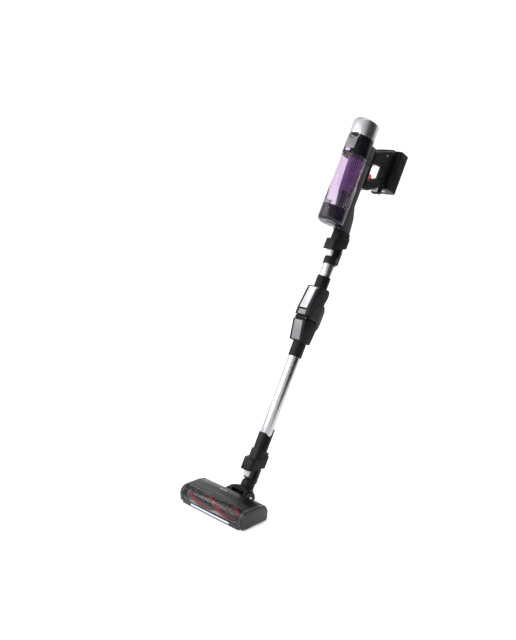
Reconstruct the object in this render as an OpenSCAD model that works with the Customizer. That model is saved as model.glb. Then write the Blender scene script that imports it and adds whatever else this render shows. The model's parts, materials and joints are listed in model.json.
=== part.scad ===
// Cordless stick vacuum: floor head, two-part wand with a fold joint, handheld unit with a dust bin.
// Millimetres. X runs along the floor head, -Y is forwards, +Z is up, and the stick leans back to +Y.
// The origin is in the hand grip. Stick pieces are drawn upright in the stick's own frame, where Z runs
// up the wand's centre line and +Y is its rear, and are then leaned back.

/* [Stick] */
// Lean of the stick away from upright, in degrees
lean = 29; // [22:1:35]
// Outer radius of the aluminium wand tubes
tube_r = 17; // [15:0.5:19]
// Wall of the wand tubes
tube_wall = 1.2; // [0.8:0.1:2]
// Visible length of the lower wand tube
lower_tube_l = 210; // [150:5:260]
// Visible length of the upper wand tube
upper_tube_l = 38; // [25:1:60]
// Depth that a tube is pushed into a plastic fitting
tube_seat = 24; // [15:1:30]

/* [Floor head] */
// Width of the floor head
head_w = 248; // [210:2:300]
// Height of the floor head's top above the floor
head_h = 47; // [45:1:56]
// Distance from the floor head's centre to its rear face
head_rear = 49; // [44:1:56]
// Thickness of each end cap
end_cap_t = 14; // [10:1:18]
// Thickness of the floor head's shells
shell_t = 2.4; // [1.8:0.1:3]
// Radius of the brush roller over its bristle tips
roller_r = 20; // [17:0.5:21]
// Radius of the brush roller's hard core
core_r = 14; // [11:0.5:15]
// Distance from the floor head's centre forward to the roller's axis
roller_fwd = 24; // [20:1:26]
// Thickness of the clear front window
window_t = 2; // [1.5:0.1:3]
// Radius of the rear wheels
wheel_r = 11; // [8:0.5:13]

/* [Neck] */
// Distance from the floor head's centre back to the tilt axis
tilt_y = 66; // [64:1:76]
// Height of the tilt axis above the floor
tilt_z = 25; // [22:1:30]
// Radius of the tilt barrel
barrel_r = 20; // [17:0.5:21]
// Length of the tilt barrel
barrel_l = 62; // [50:1:76]
// Distance up the stick from the wand's zero point to the middle of the head's collar
neck_l = 85; // [78:1:110]

/* [Couplings] */
// Radius of the plug-in spigots
spigot_r = 16.5; // [14:0.5:18]
// Distance that a spigot's centre lies behind the wand's centre line
spigot_back = 10; // [6:0.5:12]
// Gap around a spigot in its socket
spigot_gap = 0.35; // [0.3:0.05:0.6]
// Width of the slanted collars
collar_w = 46; // [42:1:54]
// Depth of the slanted collars, front to back
collar_d = 60; // [56:1:68]
// Height of the slanted collars
collar_h = 29; // [22:1:34]
// Slant of the collars, higher at the rear, in degrees
collar_slant = 23; // [10:1:28]

/* [Fold joint] */
// Width of the fold joint's shells
fold_w = 44; // [42:1:52]
// Distance that the fold hinge lies in front of the wand's centre line
hinge_fwd = 33; // [31:1:38]
// Radius of the fold hinge pin
fold_pin_r = 2.5; // [2:0.1:3.5]
// Radius of the corrugated hose inside the joint
hose_r = 13; // [11:0.5:14]

/* [Handheld] */
// Radius of the dust bin and the motor housing
bin_r = 38; // [35:0.5:42]
// Height of the clear dust bin
bin_l = 160; // [140:2:190]
// Height of the bin's bottom lid
lid_h = 45; // [38:1:52]
// Wall of the dust bin
bin_wall = 2.2; // [1.6:0.1:3]
// Height of the black motor housing band
band_h = 57; // [50:1:70]
// Height of the silver motor cap
cap_h = 53; // [45:1:65]
// Gap between the wand's centre line and the back of the dust bin
bin_gap = 22; // [21:0.5:26]
// Half of the width of the handle
grip_x = 16; // [13:0.5:18]

/* [Battery] */
// Width of the battery pack
battery_w = 66; // [62:1:80]
// Depth of the battery pack
battery_d = 42; // [42:1:50]
// Height of the battery pack
battery_h = 122; // [110:2:140]
// Radius of the charging jack's bore
jack_r = 2.75; // [2.5:0.05:3.2]

/* [Fits] */
// Radial running clearance of pins and shafts in their bores
run_gap = 0.06; // [0.02:0.01:0.1]
// Gap between neighbouring pieces that move past each other
move_gap = 0.4; // [0.3:0.05:0.8]
// Gap between pieces that are fastened together
seam = 0.05; // [0.02:0.01:0.2]

/* [Hidden] */
$fn = 48;

// Stations up the stick, each worked out from the one below
socket_l = 36;
sleeve_l = 66;
fold_sleeve_l = 43;
fold_low_l = 65;
fold_up_l = 100;
fold_top_sleeve_l = 34;
spigot_l = 66;
t_collar = neck_l;
t_sleeve = t_collar + socket_l;
t_tube = t_sleeve + sleeve_l - tube_seat;
t_fold = t_sleeve + sleeve_l + lower_tube_l;
t_fold_body = t_fold + fold_sleeve_l;
t_hinge = t_fold_body + fold_low_l;
t_fold_top = t_hinge + fold_up_l;
t_upper = t_fold_top + fold_top_sleeve_l;
t_spigot = t_upper + upper_tube_l;
t_collar2 = t_spigot + spigot_l;
t_lid = t_collar2 + socket_l;
t_bin = t_lid + lid_h;
t_band = t_bin + bin_l;
t_cap = t_band + band_h;
t_top = t_cap + cap_h;
// The wand's centre line passes behind the tilt axis, and its zero point is above it
axis_back = 9;
axis_up = 10;
// Centre of the bin and motor stack, in front of the wand's centre line
stack_y = -(bin_gap + bin_r);
stack_front = stack_y - bin_r;
// Centre of the hand grip, behind and along the wand's centre line
grip_b = 44;
grip_t = t_band + 51;
grip_y = tilt_y + (grip_b + axis_back) * cos(lean) + (grip_t + axis_up) * sin(lean);
grip_z = tilt_z - (grip_b + axis_back) * sin(lean) + (grip_t + axis_up) * cos(lean);
// Floor head
inner_w = head_w - 2 * end_cap_t;
roller_z = roller_r + 1.5;
window_r = head_h - roller_z;
chamber_r = window_r - window_t - 0.8;
sole_t = 3;
lip_h = 11;
motor_y = 26;
motor_z = 22;
belt_x = -inner_w / 2 + 5;
belt_w = 5;
big_pulley_r = 9.2;
small_pulley_r = 5.2;
shaft_r = 3;
belt_gap = 0.3;
ear_t = 7;
ear_x = barrel_l / 2 + move_gap;
wheel_y = tilt_y - 6;
wheel_w = 8;
axle_r = 2.2;
// Stub pins of the release lever
lever_pin_r = 2;
// Swivel of the neck
swivel_b = 4;
swivel_r = 15;
swivel_t = 14;
// Handle column and battery
column_front = 75;
column_back = 93;
battery_y = column_back + move_gap;
battery_t = t_band - 23;
// Trigger: its pins' place behind and along the wand's centre line
trigger_b = 16.5;
trigger_t = t_band - 31;
trigger_w = 12;
trigger_pin_r = 2;
// Hinge of the bin's lid
lid_pivot_y = -bin_gap - 2.9;
lid_ear_y = -bin_gap + 3.2;
lid_ear_x = 9;
lid_lug_r = 2.8;
lid_pin_r = 1.8;
screw_spots = [[12, 12], [58, 66], [84, -18], [84, 84]];

module at_head() {
  translate([0, -grip_y, -grip_z]) children();
}

module at_stick() {
  at_head() translate([0, tilt_y, tilt_z]) rotate([-lean, 0, 0])
    translate([0, axis_back, axis_up]) children();
}

// A cylinder along X, centred on x = mid
module bar(r, l, mid = 0) {
  translate([mid, 0, 0]) rotate([0, 90, 0]) cylinder(r = r, h = l, center = true);
}

// An outline drawn in (y, z) and made l wide along X
module side_plate(l, mid = 0) {
  translate([mid, 0, 0]) rotate([90, 0, 90]) linear_extrude(l, center = true) children();
}

// A rectangle with round corners
module round_rect(w, d, r) {
  square([w - 2 * r, d], center = true);
  square([w, d - 2 * r], center = true);
  for (sx = [-1, 1], sy = [-1, 1]) translate([sx * (w / 2 - r), sy * (d / 2 - r)]) circle(r);
}

// A rectangle with cut corners
module cut_rect(w, d, c) {
  polygon([
    [-w / 2 + c, -d / 2], [w / 2 - c, -d / 2], [w / 2, -d / 2 + c], [w / 2, d / 2 - c],
    [w / 2 - c, d / 2], [-w / 2 + c, d / 2], [-w / 2, d / 2 - c], [-w / 2, -d / 2 + c]
  ]);
}

// Side outline of the floor head, drawn smaller by inset
module head_outline(inset = 0) {
  translate([-roller_fwd, roller_z]) circle(r = window_r - inset, $fn = 96);
  polygon([
    [-roller_fwd, head_h - inset], [18, head_h - inset], [head_rear - 8, head_h - 5 - inset],
    [head_rear - inset, 27], [head_rear - 3 - inset, 8], [head_rear - 8, sole_t],
    [-head_rear + 4, sole_t], [-head_rear + inset, lip_h]
  ]);
}

// Open space of the brush chamber
module chamber(r) {
  translate([0, -roller_fwd, roller_z]) bar(r, inner_w - 8);
  translate([0, -roller_fwd, 0]) cube([inner_w - 8, 2 * r - 6, roller_z * 2 - 12], center = true);
}

module belt_outline(grow) {
  hull() {
    translate([-roller_fwd, roller_z]) circle(big_pulley_r + belt_gap + grow, $fn = 32);
    translate([motor_y, motor_z]) circle(small_pulley_r + belt_gap + grow, $fn = 32);
  }
}

module head_housing() {
  color("#101012") at_head() difference() {
    union() {
      side_plate(inner_w - 2 * seam) head_outline();
      for (s = [-1, 1]) side_plate(ear_t, s * (ear_x + ear_t / 2)) {
        translate([tilt_y, tilt_z]) circle(barrel_r - 3);
        polygon([
          [head_rear - 12, tilt_z + 15], [tilt_y, tilt_z + barrel_r - 3],
          [tilt_y + 8, 12], [wheel_y, 6], [head_rear - 12, 5]
        ]);
      }
    }
    // brush chamber, and the front that the window closes
    chamber(chamber_r);
    translate([0, -roller_fwd - 50, lip_h + 50]) cube([inner_w - 12, 100, 100], center = true);
    translate([0, -head_rear, lip_h / 2]) cube([inner_w + 10, 20, lip_h + 0.2], center = true);
    // air duct to the neck, and the motor bay
    translate([0, head_rear / 2 + 4, 25]) cube([50, head_rear + 8, 26], center = true);
    translate([-67, motor_y, 21]) cube([66, 27, 38], center = true);
    translate([67, motor_y, 21]) cube([66, 27, 38], center = true);
    // belt bay at the left end
    side_plate(12, belt_x) belt_outline(3);
    translate([0, -roller_fwd, roller_z]) bar(shaft_r + move_gap, head_w);
    translate([0, motor_y, motor_z]) bar(shaft_r, -belt_x - 60, (belt_x - 60) / 2);
    // room for the tilt barrel, its pins and the wheel axle
    translate([0, tilt_y, tilt_z]) bar(barrel_r + 1.2, barrel_l + 2 * move_gap);
    translate([0, tilt_y, tilt_z]) bar(4 + seam, 200);
    translate([0, wheel_y, wheel_r]) bar(axle_r + run_gap, 200);
    translate([0, 0, sole_t / 2 - 10]) cube([400, 300, sole_t + 20], center = true);
    translate([0, wheel_y, 0]) cube([2 * ear_x, 60, 24], center = true);
  }
}

module sole_plate() {
  color("#1c1c1f") at_head() difference() {
    union() {
      translate([0, -2.5, sole_t / 2 - seam / 2])
        cube([inner_w - 2 * seam, 2 * head_rear - 13, sole_t - seam], center = true);
      translate([0, -head_rear + 3.5, lip_h / 2])
        cube([inner_w - 2 * seam, 6, lip_h - 0.2], center = true);
    }
    translate([0, -roller_fwd, 0]) cube([inner_w - 12, 2 * roller_r - 2, 60], center = true);
    // slot for the light strip and its board
    translate([0, -head_rear + 0.5, 7]) cube([150 + 2 * seam, 4, 5 + 2 * seam], center = true);
    translate([0, -head_rear + 3.2, 7]) cube([150 + 2 * seam, 2, 5 + 2 * seam], center = true);
  }
}

module brush_window() {
  color("#5a5a5e80") at_head() difference() {
    translate([0, -roller_fwd, roller_z]) bar(window_r, inner_w - 12 - 2 * seam, $fn = 96);
    translate([0, -roller_fwd, roller_z]) bar(window_r - window_t, inner_w, $fn = 96);
    translate([0, -roller_fwd + 50 - seam, roller_z]) cube([inner_w, 100, 100], center = true);
    translate([0, -roller_fwd, lip_h - 50 + seam]) cube([inner_w, 100, 100], center = true);
  }
}

module led_lens() {
  color("#e8f0ff") at_head() translate([0, -head_rear + 1, 7]) cube([150, 3, 5], center = true);
}

module led_board() {
  color("#1f5f3a") at_head() translate([0, -head_rear + 3.2, 7]) cube([148, 1.2, 4.5], center = true);
}

module brush_motor() {
  color("#9a9aa0") at_head() translate([0, motor_y, motor_z]) difference() {
    union() {
      bar(12, 52, -68);
      bar(5, 4, -95);
    }
    bar(1.5 + run_gap, 200, -60);
  }
}

module motor_pulley() {
  color("#d8d8d0") at_head() translate([0, motor_y, motor_z]) {
    bar(small_pulley_r, belt_w, belt_x);
    bar(1.5, belt_x * -1 - 44, (belt_x - 44) / 2);
  }
}

module drive_belt() {
  color("#161616") at_head() side_plate(belt_w - 1, belt_x) difference() {
    belt_outline(1.2);
    belt_outline(0);
  }
}

// End cap with a smaller outer step
module end_cap() {
  difference() {
    union() {
      side_plate(end_cap_t - 4, inner_w / 2 + end_cap_t / 2 - 2) head_outline();
      side_plate(4, head_w / 2 - 2) head_outline(2.5);
      translate([head_w / 2 - 1.5, 3, 24]) rotate([0, 90, 0]) cylinder(r = 9, h = 1.5);
    }
    translate([0, 0, sole_t / 2 - 10]) cube([400, 300, sole_t + 18], center = true);
    translate([inner_w / 2 + 2, -roller_fwd, roller_z]) rotate([0, 90, 0])
      cylinder(r = shaft_r + run_gap, h = 12, center = true);
  }
}

module end_cap_right() {
  color("#3c3c40") at_head() end_cap();
}

module end_cap_left() {
  color("#3c3c40") at_head() mirror([1, 0, 0]) end_cap();
}

module roller_core() {
  color("#6b1420") at_head() translate([0, -roller_fwd, roller_z]) {
    bar(core_r, inner_w - 26, 3);
    bar(shaft_r, inner_w + 12);
  }
}

// Two rows of tufts that wind once round the core
module roller_bristles() {
  turns = 1;
  rows = 2;
  count = 36;
  color("#c81e2c") at_head() translate([0, -roller_fwd, roller_z])
    for (row = [0 : rows - 1], i = [0 : count - 1])
      translate([3 - (inner_w - 34) / 2 + (inner_w - 34) * i / (count - 1), 0, 0])
        rotate([360 * (row / rows + turns * abs(i / (count - 1) - 0.5)), 0, 0])
          translate([0, 0, core_r - 0.5]) cylinder(r = 1.6, h = roller_r - core_r + 0.5);
}

module roller_pulley() {
  color("#d8d8d0") at_head() translate([0, -roller_fwd, roller_z]) difference() {
    bar(big_pulley_r, belt_w, belt_x);
    bar(shaft_r + seam, head_w);
  }
}

// Wheel with its own stub axle, which turns in the ear beside it
module rear_wheel(side) {
  translate([0, wheel_y, wheel_r]) {
    bar(wheel_r, wheel_w, side * (ear_x + ear_t + move_gap + wheel_w / 2));
    bar(axle_r, ear_t + 2, side * (ear_x + ear_t / 2 + 1));
  }
}

module rear_wheel_left() {
  color("#2a2a2c") at_head() rear_wheel(-1);
}

module rear_wheel_right() {
  color("#2a2a2c") at_head() rear_wheel(1);
}

module tilt_barrel() {
  color("#121214") at_stick() difference() {
    union() {
      hull() {
        translate([0, -axis_back, -axis_up]) bar(barrel_r, barrel_l, $fn = 64);
        translate([0, swivel_b, 2]) cylinder(r = swivel_r + 4.5, h = swivel_t - 2, $fn = 48);
      }
      translate([0, swivel_b, 0]) cylinder(r = swivel_r, h = swivel_t + 20);
    }
    translate([0, -axis_back, -axis_up]) bar(4 + run_gap, 200);
    translate([0, swivel_b, -12]) cylinder(r = swivel_r - 3, h = 80);
    translate([0, -axis_back - 14, -axis_up]) cube([46, 30, 22], center = true);
  }
}

module tilt_pins() {
  color("#8e9094") at_head() translate([0, tilt_y, tilt_z])
    for (s = [-1, 1]) bar(4, ear_t + 8, s * (ear_x + ear_t - (ear_t + 8) / 2));
}

// Plug-in end: z = 0 is the middle of the collar that it enters
module spigot(low) {
  difference() {
    union() {
      translate([0, spigot_back, low]) cylinder(r = spigot_r, h = 8 - low);
      // rear rib that ends in a tab
      translate([0, spigot_back + spigot_r, -36]) cube([9, 12, 42], center = true);
      // boss that carries the release button
      translate([0, -6, -34]) cube([24, 14, 28], center = true);
    }
    translate([0, spigot_back, low - 1]) cylinder(r = spigot_r - 2.5, h = 80 - low);
    translate([0, -12, -35]) cube([18 + 2 * move_gap, 18, 18 + 2 * move_gap], center = true);
  }
}

// Release button of a spigot, pressed towards +Y
module spigot_button() {
  translate([0, -15, -35]) cube([18, 8, 18], center = true);
  translate([0, -20, -34]) rotate([12, 0, 0]) cube([16, 4, 16], center = true);
}

// Socket with its slanted collar: z = 0 is the middle of the collar
module socket() {
  intersection() {
    translate([0, -1, -60]) linear_extrude(120) cut_rect(collar_w, collar_d, 8);
    rotate([collar_slant, 0, 0]) cube([100, 150, collar_h], center = true);
  }
  translate([0, spigot_back - 6, -4]) linear_extrude(socket_l + 4) cut_rect(41, 48, 9);
}

module socket_bore() {
  translate([0, spigot_back, -60]) cylinder(r = spigot_r + spigot_gap, h = 60 + 9);
  translate([0, spigot_back, 0]) cylinder(r = spigot_r - 3, h = socket_l + 1);
  // room for the spigot's rear rib and button boss
  translate([0, spigot_back + spigot_r, -22]) cube([10, 13, 16], center = true);
  translate([0, -8, -30]) cube([26, 20, 21], center = true);
}

module neck_body() {
  color("#141416") at_stick() difference() {
    union() {
      translate([0, 0, t_collar]) spigot(-t_collar + swivel_t + 22);
      translate([0, swivel_b, swivel_t + move_gap]) cylinder(r = swivel_r + 4.5, h = 12);
      hull() {
        translate([0, swivel_b, swivel_t + 11 + move_gap])
          cylinder(r = swivel_r + 4.5, h = 1, $fn = 48);
        translate([0, spigot_back, swivel_t + 24 + move_gap])
          cylinder(r = spigot_r, h = 1, $fn = 48);
      }
    }
    translate([0, swivel_b, 0]) cylinder(r = swivel_r + run_gap, h = swivel_t + 20 + move_gap);
    translate([0, spigot_back, 20]) cylinder(r = spigot_r - 2.5, h = 60);
  }
}

module head_release_button() {
  color("#d9dadd") at_stick() translate([0, 0, t_collar]) spigot_button();
}

module wand_socket() {
  color("#141416") at_stick() difference() {
    union() {
      translate([0, 0, t_collar]) socket();
      translate([0, 1.5, t_sleeve - 1]) cylinder(r = tube_r + 3, h = sleeve_l + 1);
    }
    translate([0, 0, t_collar]) socket_bore();
    translate([0, 0, t_tube]) cylinder(r = tube_r + seam, h = 200);
    translate([0, 2, t_sleeve - 1]) cylinder(r = tube_r - 4, h = 60);
    // scooped mouth, with a short tip in front and a long one behind
    translate([0, 0, t_sleeve + sleeve_l - 7]) bar(tube_r, 100);
    translate([0, -tube_r - 10, t_sleeve + sleeve_l]) cube([60, 30, 36], center = true);
  }
}

module wand_tube(from, to) {
  translate([0, 0, from]) difference() {
    cylinder(r = tube_r, h = to - from, $fn = 96);
    translate([0, 0, -1]) cylinder(r = tube_r - tube_wall, h = to - from + 2, $fn = 96);
  }
}

module lower_tube() {
  color("#c9cbce") at_stick() wand_tube(t_tube + seam, t_fold + tube_seat);
}

// Knuckles of the fold hinge
module fold_knuckle(r) {
  translate([0, -hinge_fwd, t_hinge]) bar(r, 16);
}

module fold_lower_shell() {
  front = -hinge_fwd - 5;
  color("#141416") at_stick() difference() {
    union() {
      translate([0, 0, t_fold]) cylinder(r = tube_r + 2.5, h = fold_sleeve_l + 10);
      difference() {
        side_plate(fold_w) polygon([
          [-tube_r - 6, t_fold_body], [front, t_hinge - 6], [front, t_hinge - 2],
          [21, t_hinge - 2], [21, t_fold_body + 30], [tube_r, t_fold_body]
        ]);
        translate([0, -hinge_fwd, t_hinge]) bar(8, 100);
        plate_shape(seam);
      }
      intersection() {
        fold_knuckle(6.5);
        translate([0, -hinge_fwd, t_hinge]) cube([100, 13, 13], center = true);
      }
      translate([0, -hinge_fwd + 5, t_hinge - 7]) cube([16, 8, 8], center = true);
    }
    translate([0, 0, t_fold - 1]) cylinder(r = tube_r + seam, h = tube_seat + 1);
    translate([0, 0, t_fold]) cylinder(r = hose_r + 0.6, h = 200);
    translate([0, -hinge_fwd, t_hinge]) bar(fold_pin_r + run_gap, 100);
  }
}

// Plate on the sloping front of the lower shell, 1 mm proud of it and let in by 1 mm
module plate_shape(gap) {
  front = -hinge_fwd - 5;
  side_plate(30 + 2 * gap) polygon([
    [-tube_r - 8, t_fold_body + 3 - gap], [front - 1, t_hinge - 9 + gap],
    [front + 1 + gap, t_hinge - 9 + gap], [-tube_r - 6 + gap, t_fold_body + 3 - gap]
  ]);
}

module fold_front_plate() {
  color("#8c8e92") at_stick() plate_shape(0);
}

// Rear cover of the hose: it rides on the lower half and reaches up behind the upper half
module fold_hose_cover() {
  color("#1a1a1c") at_stick() difference() {
    side_plate(26) polygon([
      [21 + seam, t_hinge - 34], [29, t_hinge - 30], [40, t_hinge - 8], [42, t_hinge + 10],
      [42, t_hinge + 44], [34, t_hinge + 57], [21 + seam, t_hinge + 57]
    ]);
    side_plate(20) polygon([
      [17, t_hinge], [36, t_hinge + 4], [38, t_hinge + 42], [31, t_hinge + 54], [17, t_hinge + 54]
    ]);
  }
}

module fold_pin() {
  color("#b5b7ba") at_stick() translate([0, -hinge_fwd, t_hinge]) bar(fold_pin_r, fold_w - 10);
}

// Corrugated hose, as one closed solid of its outer shape
module fold_hose() {
  rings = 11;
  pitch = 6;
  color("#77797d") at_stick() translate([0, 0, t_hinge - rings * pitch / 2 - 2]) {
    for (i = [0 : rings - 1]) translate([0, 0, i * pitch]) cylinder(r = hose_r, h = pitch * 0.55);
    difference() {
      cylinder(r = hose_r - 1.5, h = rings * pitch);
      translate([0, 0, -1]) cylinder(r = hose_r - 3, h = rings * pitch + 2);
    }
  }
}

module fold_upper_shell() {
  front = -hinge_fwd - 5;
  color("#141416") at_stick() difference() {
    union() {
      translate([0, 0, t_fold_top - 10]) cylinder(r = tube_r + 2.5, h = fold_top_sleeve_l + 10);
      difference() {
        side_plate(fold_w) polygon([
          [front, t_hinge + 2], [front, t_hinge + 24], [-tube_r - 10, t_fold_top - 4],
          [-tube_r, t_fold_top], [tube_r, t_fold_top], [22, t_fold_top - 8],
          [22, t_fold_top - 22], [18, t_hinge + 62], [18, t_hinge + 2]
        ]);
        translate([0, -hinge_fwd, t_hinge]) bar(8, 100);
      }
      for (s = [-1, 1]) {
        translate([0, -hinge_fwd, t_hinge]) bar(6.5, 8.6, s * (8.4 + 4.3));
        translate([s * (8.4 + 4.3), -hinge_fwd + 5, t_hinge + 7]) cube([8.6, 8, 8], center = true);
      }
    }
    translate([0, 0, t_upper - tube_seat]) cylinder(r = tube_r + seam, h = 200);
    translate([0, 0, t_hinge - 20]) cylinder(r = hose_r + 0.6, h = 200);
    translate([0, -hinge_fwd, t_hinge]) bar(fold_pin_r + seam, 100);
    // well of the release lever, its spring, and the seat of the grip pad
    lever_place() translate([0, 0.5, -34]) cube([25 + 2 * move_gap, 13, 76], center = true);
    lever_place() translate([0, 0, -2]) bar(lever_pin_r + run_gap, 36);
    lever_place() translate([0, 9, -50]) rotate([-90, 0, 0]) cylinder(r = 3.4, h = 6, center = true);
    translate([0, front - 50 + 1.2, t_hinge + 16]) cube([26 + 2 * seam, 100, 14], center = true);
  }
}

// Frame of the release lever: its own pivot is the origin, and it hangs down from there
module lever_place() {
  translate([0, -tube_r - 8.5, t_fold_top - 6]) rotate([-8.5, 0, 0]) children();
}

module fold_lever() {
  color("#dfe0e2") at_stick() lever_place() difference() {
    union() {
      translate([0, -2.5, -34]) cube([25, 5, 66], center = true);
      translate([0, 0, -2]) bar(3, 25);
      translate([0, 0, -2]) bar(lever_pin_r, 34);
    }
    translate([0, -6.4, -34]) cube([17, 4.5, 52], center = true);
  }
}

module lever_spring() {
  color("#9fa1a5") at_stick() lever_place() translate([0, 6, -50]) rotate([-90, 0, 0])
    cylinder(r = 2.6, h = 11.4, center = true);
}

module fold_grip_pad() {
  front = -hinge_fwd - 5;
  color("#6d6f73") at_stick() translate([0, front, t_hinge + 16]) difference() {
    translate([0, 0.3, 0]) cube([26, 1.6, 13.8], center = true);
    for (i = [-2 : 2]) translate([0, -0.8, i * 2.6]) cube([22, 1, 1], center = true);
  }
}

module upper_tube() {
  color("#c9cbce") at_stick() wand_tube(t_upper - tube_seat + seam, t_spigot + tube_seat - 8);
}

module wand_spigot() {
  color("#141416") at_stick() difference() {
    union() {
      difference() {
        translate([0, 0, t_collar2]) spigot(-spigot_l + 18);
        translate([0, 0, t_spigot - 1]) cylinder(r = tube_r + 1, h = tube_seat - 6);
      }
      translate([0, 0, t_spigot]) cylinder(r = tube_r + 2.5, h = tube_seat - 4);
      hull() {
        translate([0, 0, t_spigot + 10]) cylinder(r = tube_r + 2.5, h = 10, $fn = 48);
        translate([0, spigot_back, t_spigot + 24]) cylinder(r = spigot_r, h = 2, $fn = 48);
      }
    }
    translate([0, 0, t_spigot - 1]) cylinder(r = tube_r + seam, h = tube_seat - 7);
    translate([0, spigot_back - 3, t_spigot]) cylinder(r = spigot_r - 5, h = 60);
    translate([0, -12, t_collar2 - 35]) cube([18 + 2 * move_gap, 18, 18 + 2 * move_gap], center = true);
  }
}

module wand_release_button() {
  color("#d9dadd") at_stick() translate([0, 0, t_collar2]) spigot_button();
}

module inlet_connector() {
  color("#141416") at_stick() difference() {
    translate([0, 0, t_collar2]) socket();
    translate([0, 0, t_collar2]) socket_bore();
  }
}

module spine_duct() {
  color("#3a3b3e") at_stick() difference() {
    side_plate(30) polygon([
      [-bin_gap + 0.5, t_lid + seam], [-bin_gap + 0.5, t_band - seam], [0, t_band - seam],
      [0, t_lid + 80], [14, t_lid + 47], [20, t_lid + 10], [20, t_lid + seam]
    ]);
    translate([0, 2, t_lid - 1]) cylinder(r = 11, h = 24);
    translate([0, -7.5, t_lid]) cylinder(r = 6, h = bin_l + lid_h - 20);
    translate([0, -7.5, t_band - 34]) rotate([90, 0, 0]) cylinder(r = 8, h = 30);
    // channel for the bin's hinge ears
    translate([0, -bin_gap, t_lid + 27]) cube([25, 16, 66], center = true);
  }
}

module motor_housing() {
  color("#121214") at_stick() difference() {
    union() {
      translate([0, stack_y, t_band + 2]) cylinder(r = bin_r, h = band_h - 2 - seam, $fn = 96);
      translate([0, -bin_gap / 2 - 4, t_band + band_h / 2])
        cube([30, bin_gap + 8, band_h - seam], center = true);
    }
    translate([0, stack_y, t_band + 5]) cylinder(r = bin_r - 3, h = band_h, $fn = 96);
    translate([0, stack_y, t_band]) cylinder(r = 12, h = 20);
    fascia_pocket(seam);
    lens_pocket(seam);
    bin_button_pocket(move_gap);
  }
}

module motor_cap() {
  round_r = 9;
  color("#c4c5c8") at_stick() difference() {
    translate([0, stack_y, t_cap]) rotate_extrude($fn = 96) {
      square([bin_r - round_r, cap_h]);
      square([bin_r, cap_h - round_r]);
      translate([bin_r - round_r, cap_h - round_r]) circle(round_r);
    }
    translate([0, stack_y, t_cap - 1]) cylinder(r = bin_r - 2.4, h = cap_h - 8, $fn = 96);
    for (i = [0 : 23]) translate([0, stack_y, t_top]) rotate([0, 0, i * 15])
      translate([22, 0, 0]) cube([10, 2, 30], center = true);
    lens_pocket(seam);
  }
}

module fascia_pocket(gap) {
  translate([0, stack_front + 2, t_band + 27.5]) cube([34 + 2 * gap, 10, 31 + 2 * gap], center = true);
}

module front_fascia() {
  color("#6f7175") at_stick() intersection() {
    fascia_pocket(0);
    translate([0, stack_y, t_band]) cylinder(r = bin_r + 0.6, h = band_h, $fn = 96);
  }
}

module lens_pocket(gap) {
  translate([0, stack_front + 3, t_cap - 5]) rotate([90, 0, 0])
    linear_extrude(9, center = true) round_rect(34 + 2 * gap, 15 + 2 * gap, 4);
}

module display_lens() {
  color("#0a0a0c") at_stick() intersection() {
    lens_pocket(0);
    translate([0, stack_y, t_band]) cylinder(r = bin_r + 1.2, h = band_h + cap_h, $fn = 96);
  }
}

module bin_button_pocket(gap) {
  translate([0, stack_front + 4, t_band + 7]) cube([16 + 2 * gap, 14, 8 + 2 * gap], center = true);
}

module bin_release_button() {
  color("#c9b4d6") at_stick() intersection() {
    translate([0, stack_front + 1.5, t_band + 7]) cube([16, 7, 8], center = true);
    translate([0, stack_y, t_band]) cylinder(r = bin_r + 1.6, h = band_h, $fn = 96);
  }
}

module fan_motor() {
  color("#8a8c90") at_stick() translate([0, stack_y, 0]) difference() {
    union() {
      translate([0, 0, t_band + 24]) cylinder(r = 24, h = 44);
      for (i = [0 : 2]) rotate([0, 0, 90 + 120 * i])
        translate([15, -3, t_band + 30]) cube([bin_r - 3.4 - 15, 6, 12]);
    }
    translate([0, 0, t_band]) cylinder(r = 2.5 + run_gap, h = 100);
  }
}

module fan_impeller() {
  color("#2e6b4f") at_stick() translate([0, stack_y, 0]) {
    translate([0, 0, t_band + 28]) cylinder(r = 2.5, h = 52);
    translate([0, 0, t_band + 70]) cylinder(r = 21, h = 1.5);
    translate([0, 0, t_band + 70]) cylinder(r = 6, h = 11);
    for (i = [0 : 8]) rotate([0, 0, 40 * i]) translate([5, -0.6, t_band + 71]) cube([15, 1.2, 8]);
  }
}

module pleated_filter() {
  pleats = 24;
  color("#e9e7df") at_stick() translate([0, stack_y, t_band + 5 + seam]) difference() {
    union() {
      cylinder(r = 25, h = 14);
      for (i = [0 : pleats - 1]) rotate([0, 0, 360 * i / pleats])
        translate([24, -1.2, 0]) cube([6, 2.4, 14]);
    }
    translate([0, 0, -1]) cylinder(r = 14, h = 20);
  }
}

module exhaust_filter() {
  color("#dcdad2") at_stick() translate([0, stack_y, t_cap + 14]) difference() {
    cylinder(r = bin_r - 2.4 - seam, h = 28);
    translate([0, 0, -1]) cylinder(r = 27, h = 40);
  }
}

// Side outline of the handle: y is behind the wand's centre line, z is above the bin's top
module handle_outline() {
  offset(r = 4) offset(delta = -4) difference() {
    polygon([
      [0, -65], [28, -60], [58, -42], [column_front, -26], [column_front, -44],
      [column_back, -44], [column_back, 97], [79, 96], [43, 79], [0, 54]
    ]);
    polygon([
      [14, -28], [40, -19], [62, -7], [column_front, 2], [column_front, 36], [58, 33],
      [34, 22], [14, 18]
    ]);
  }
}

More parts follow.
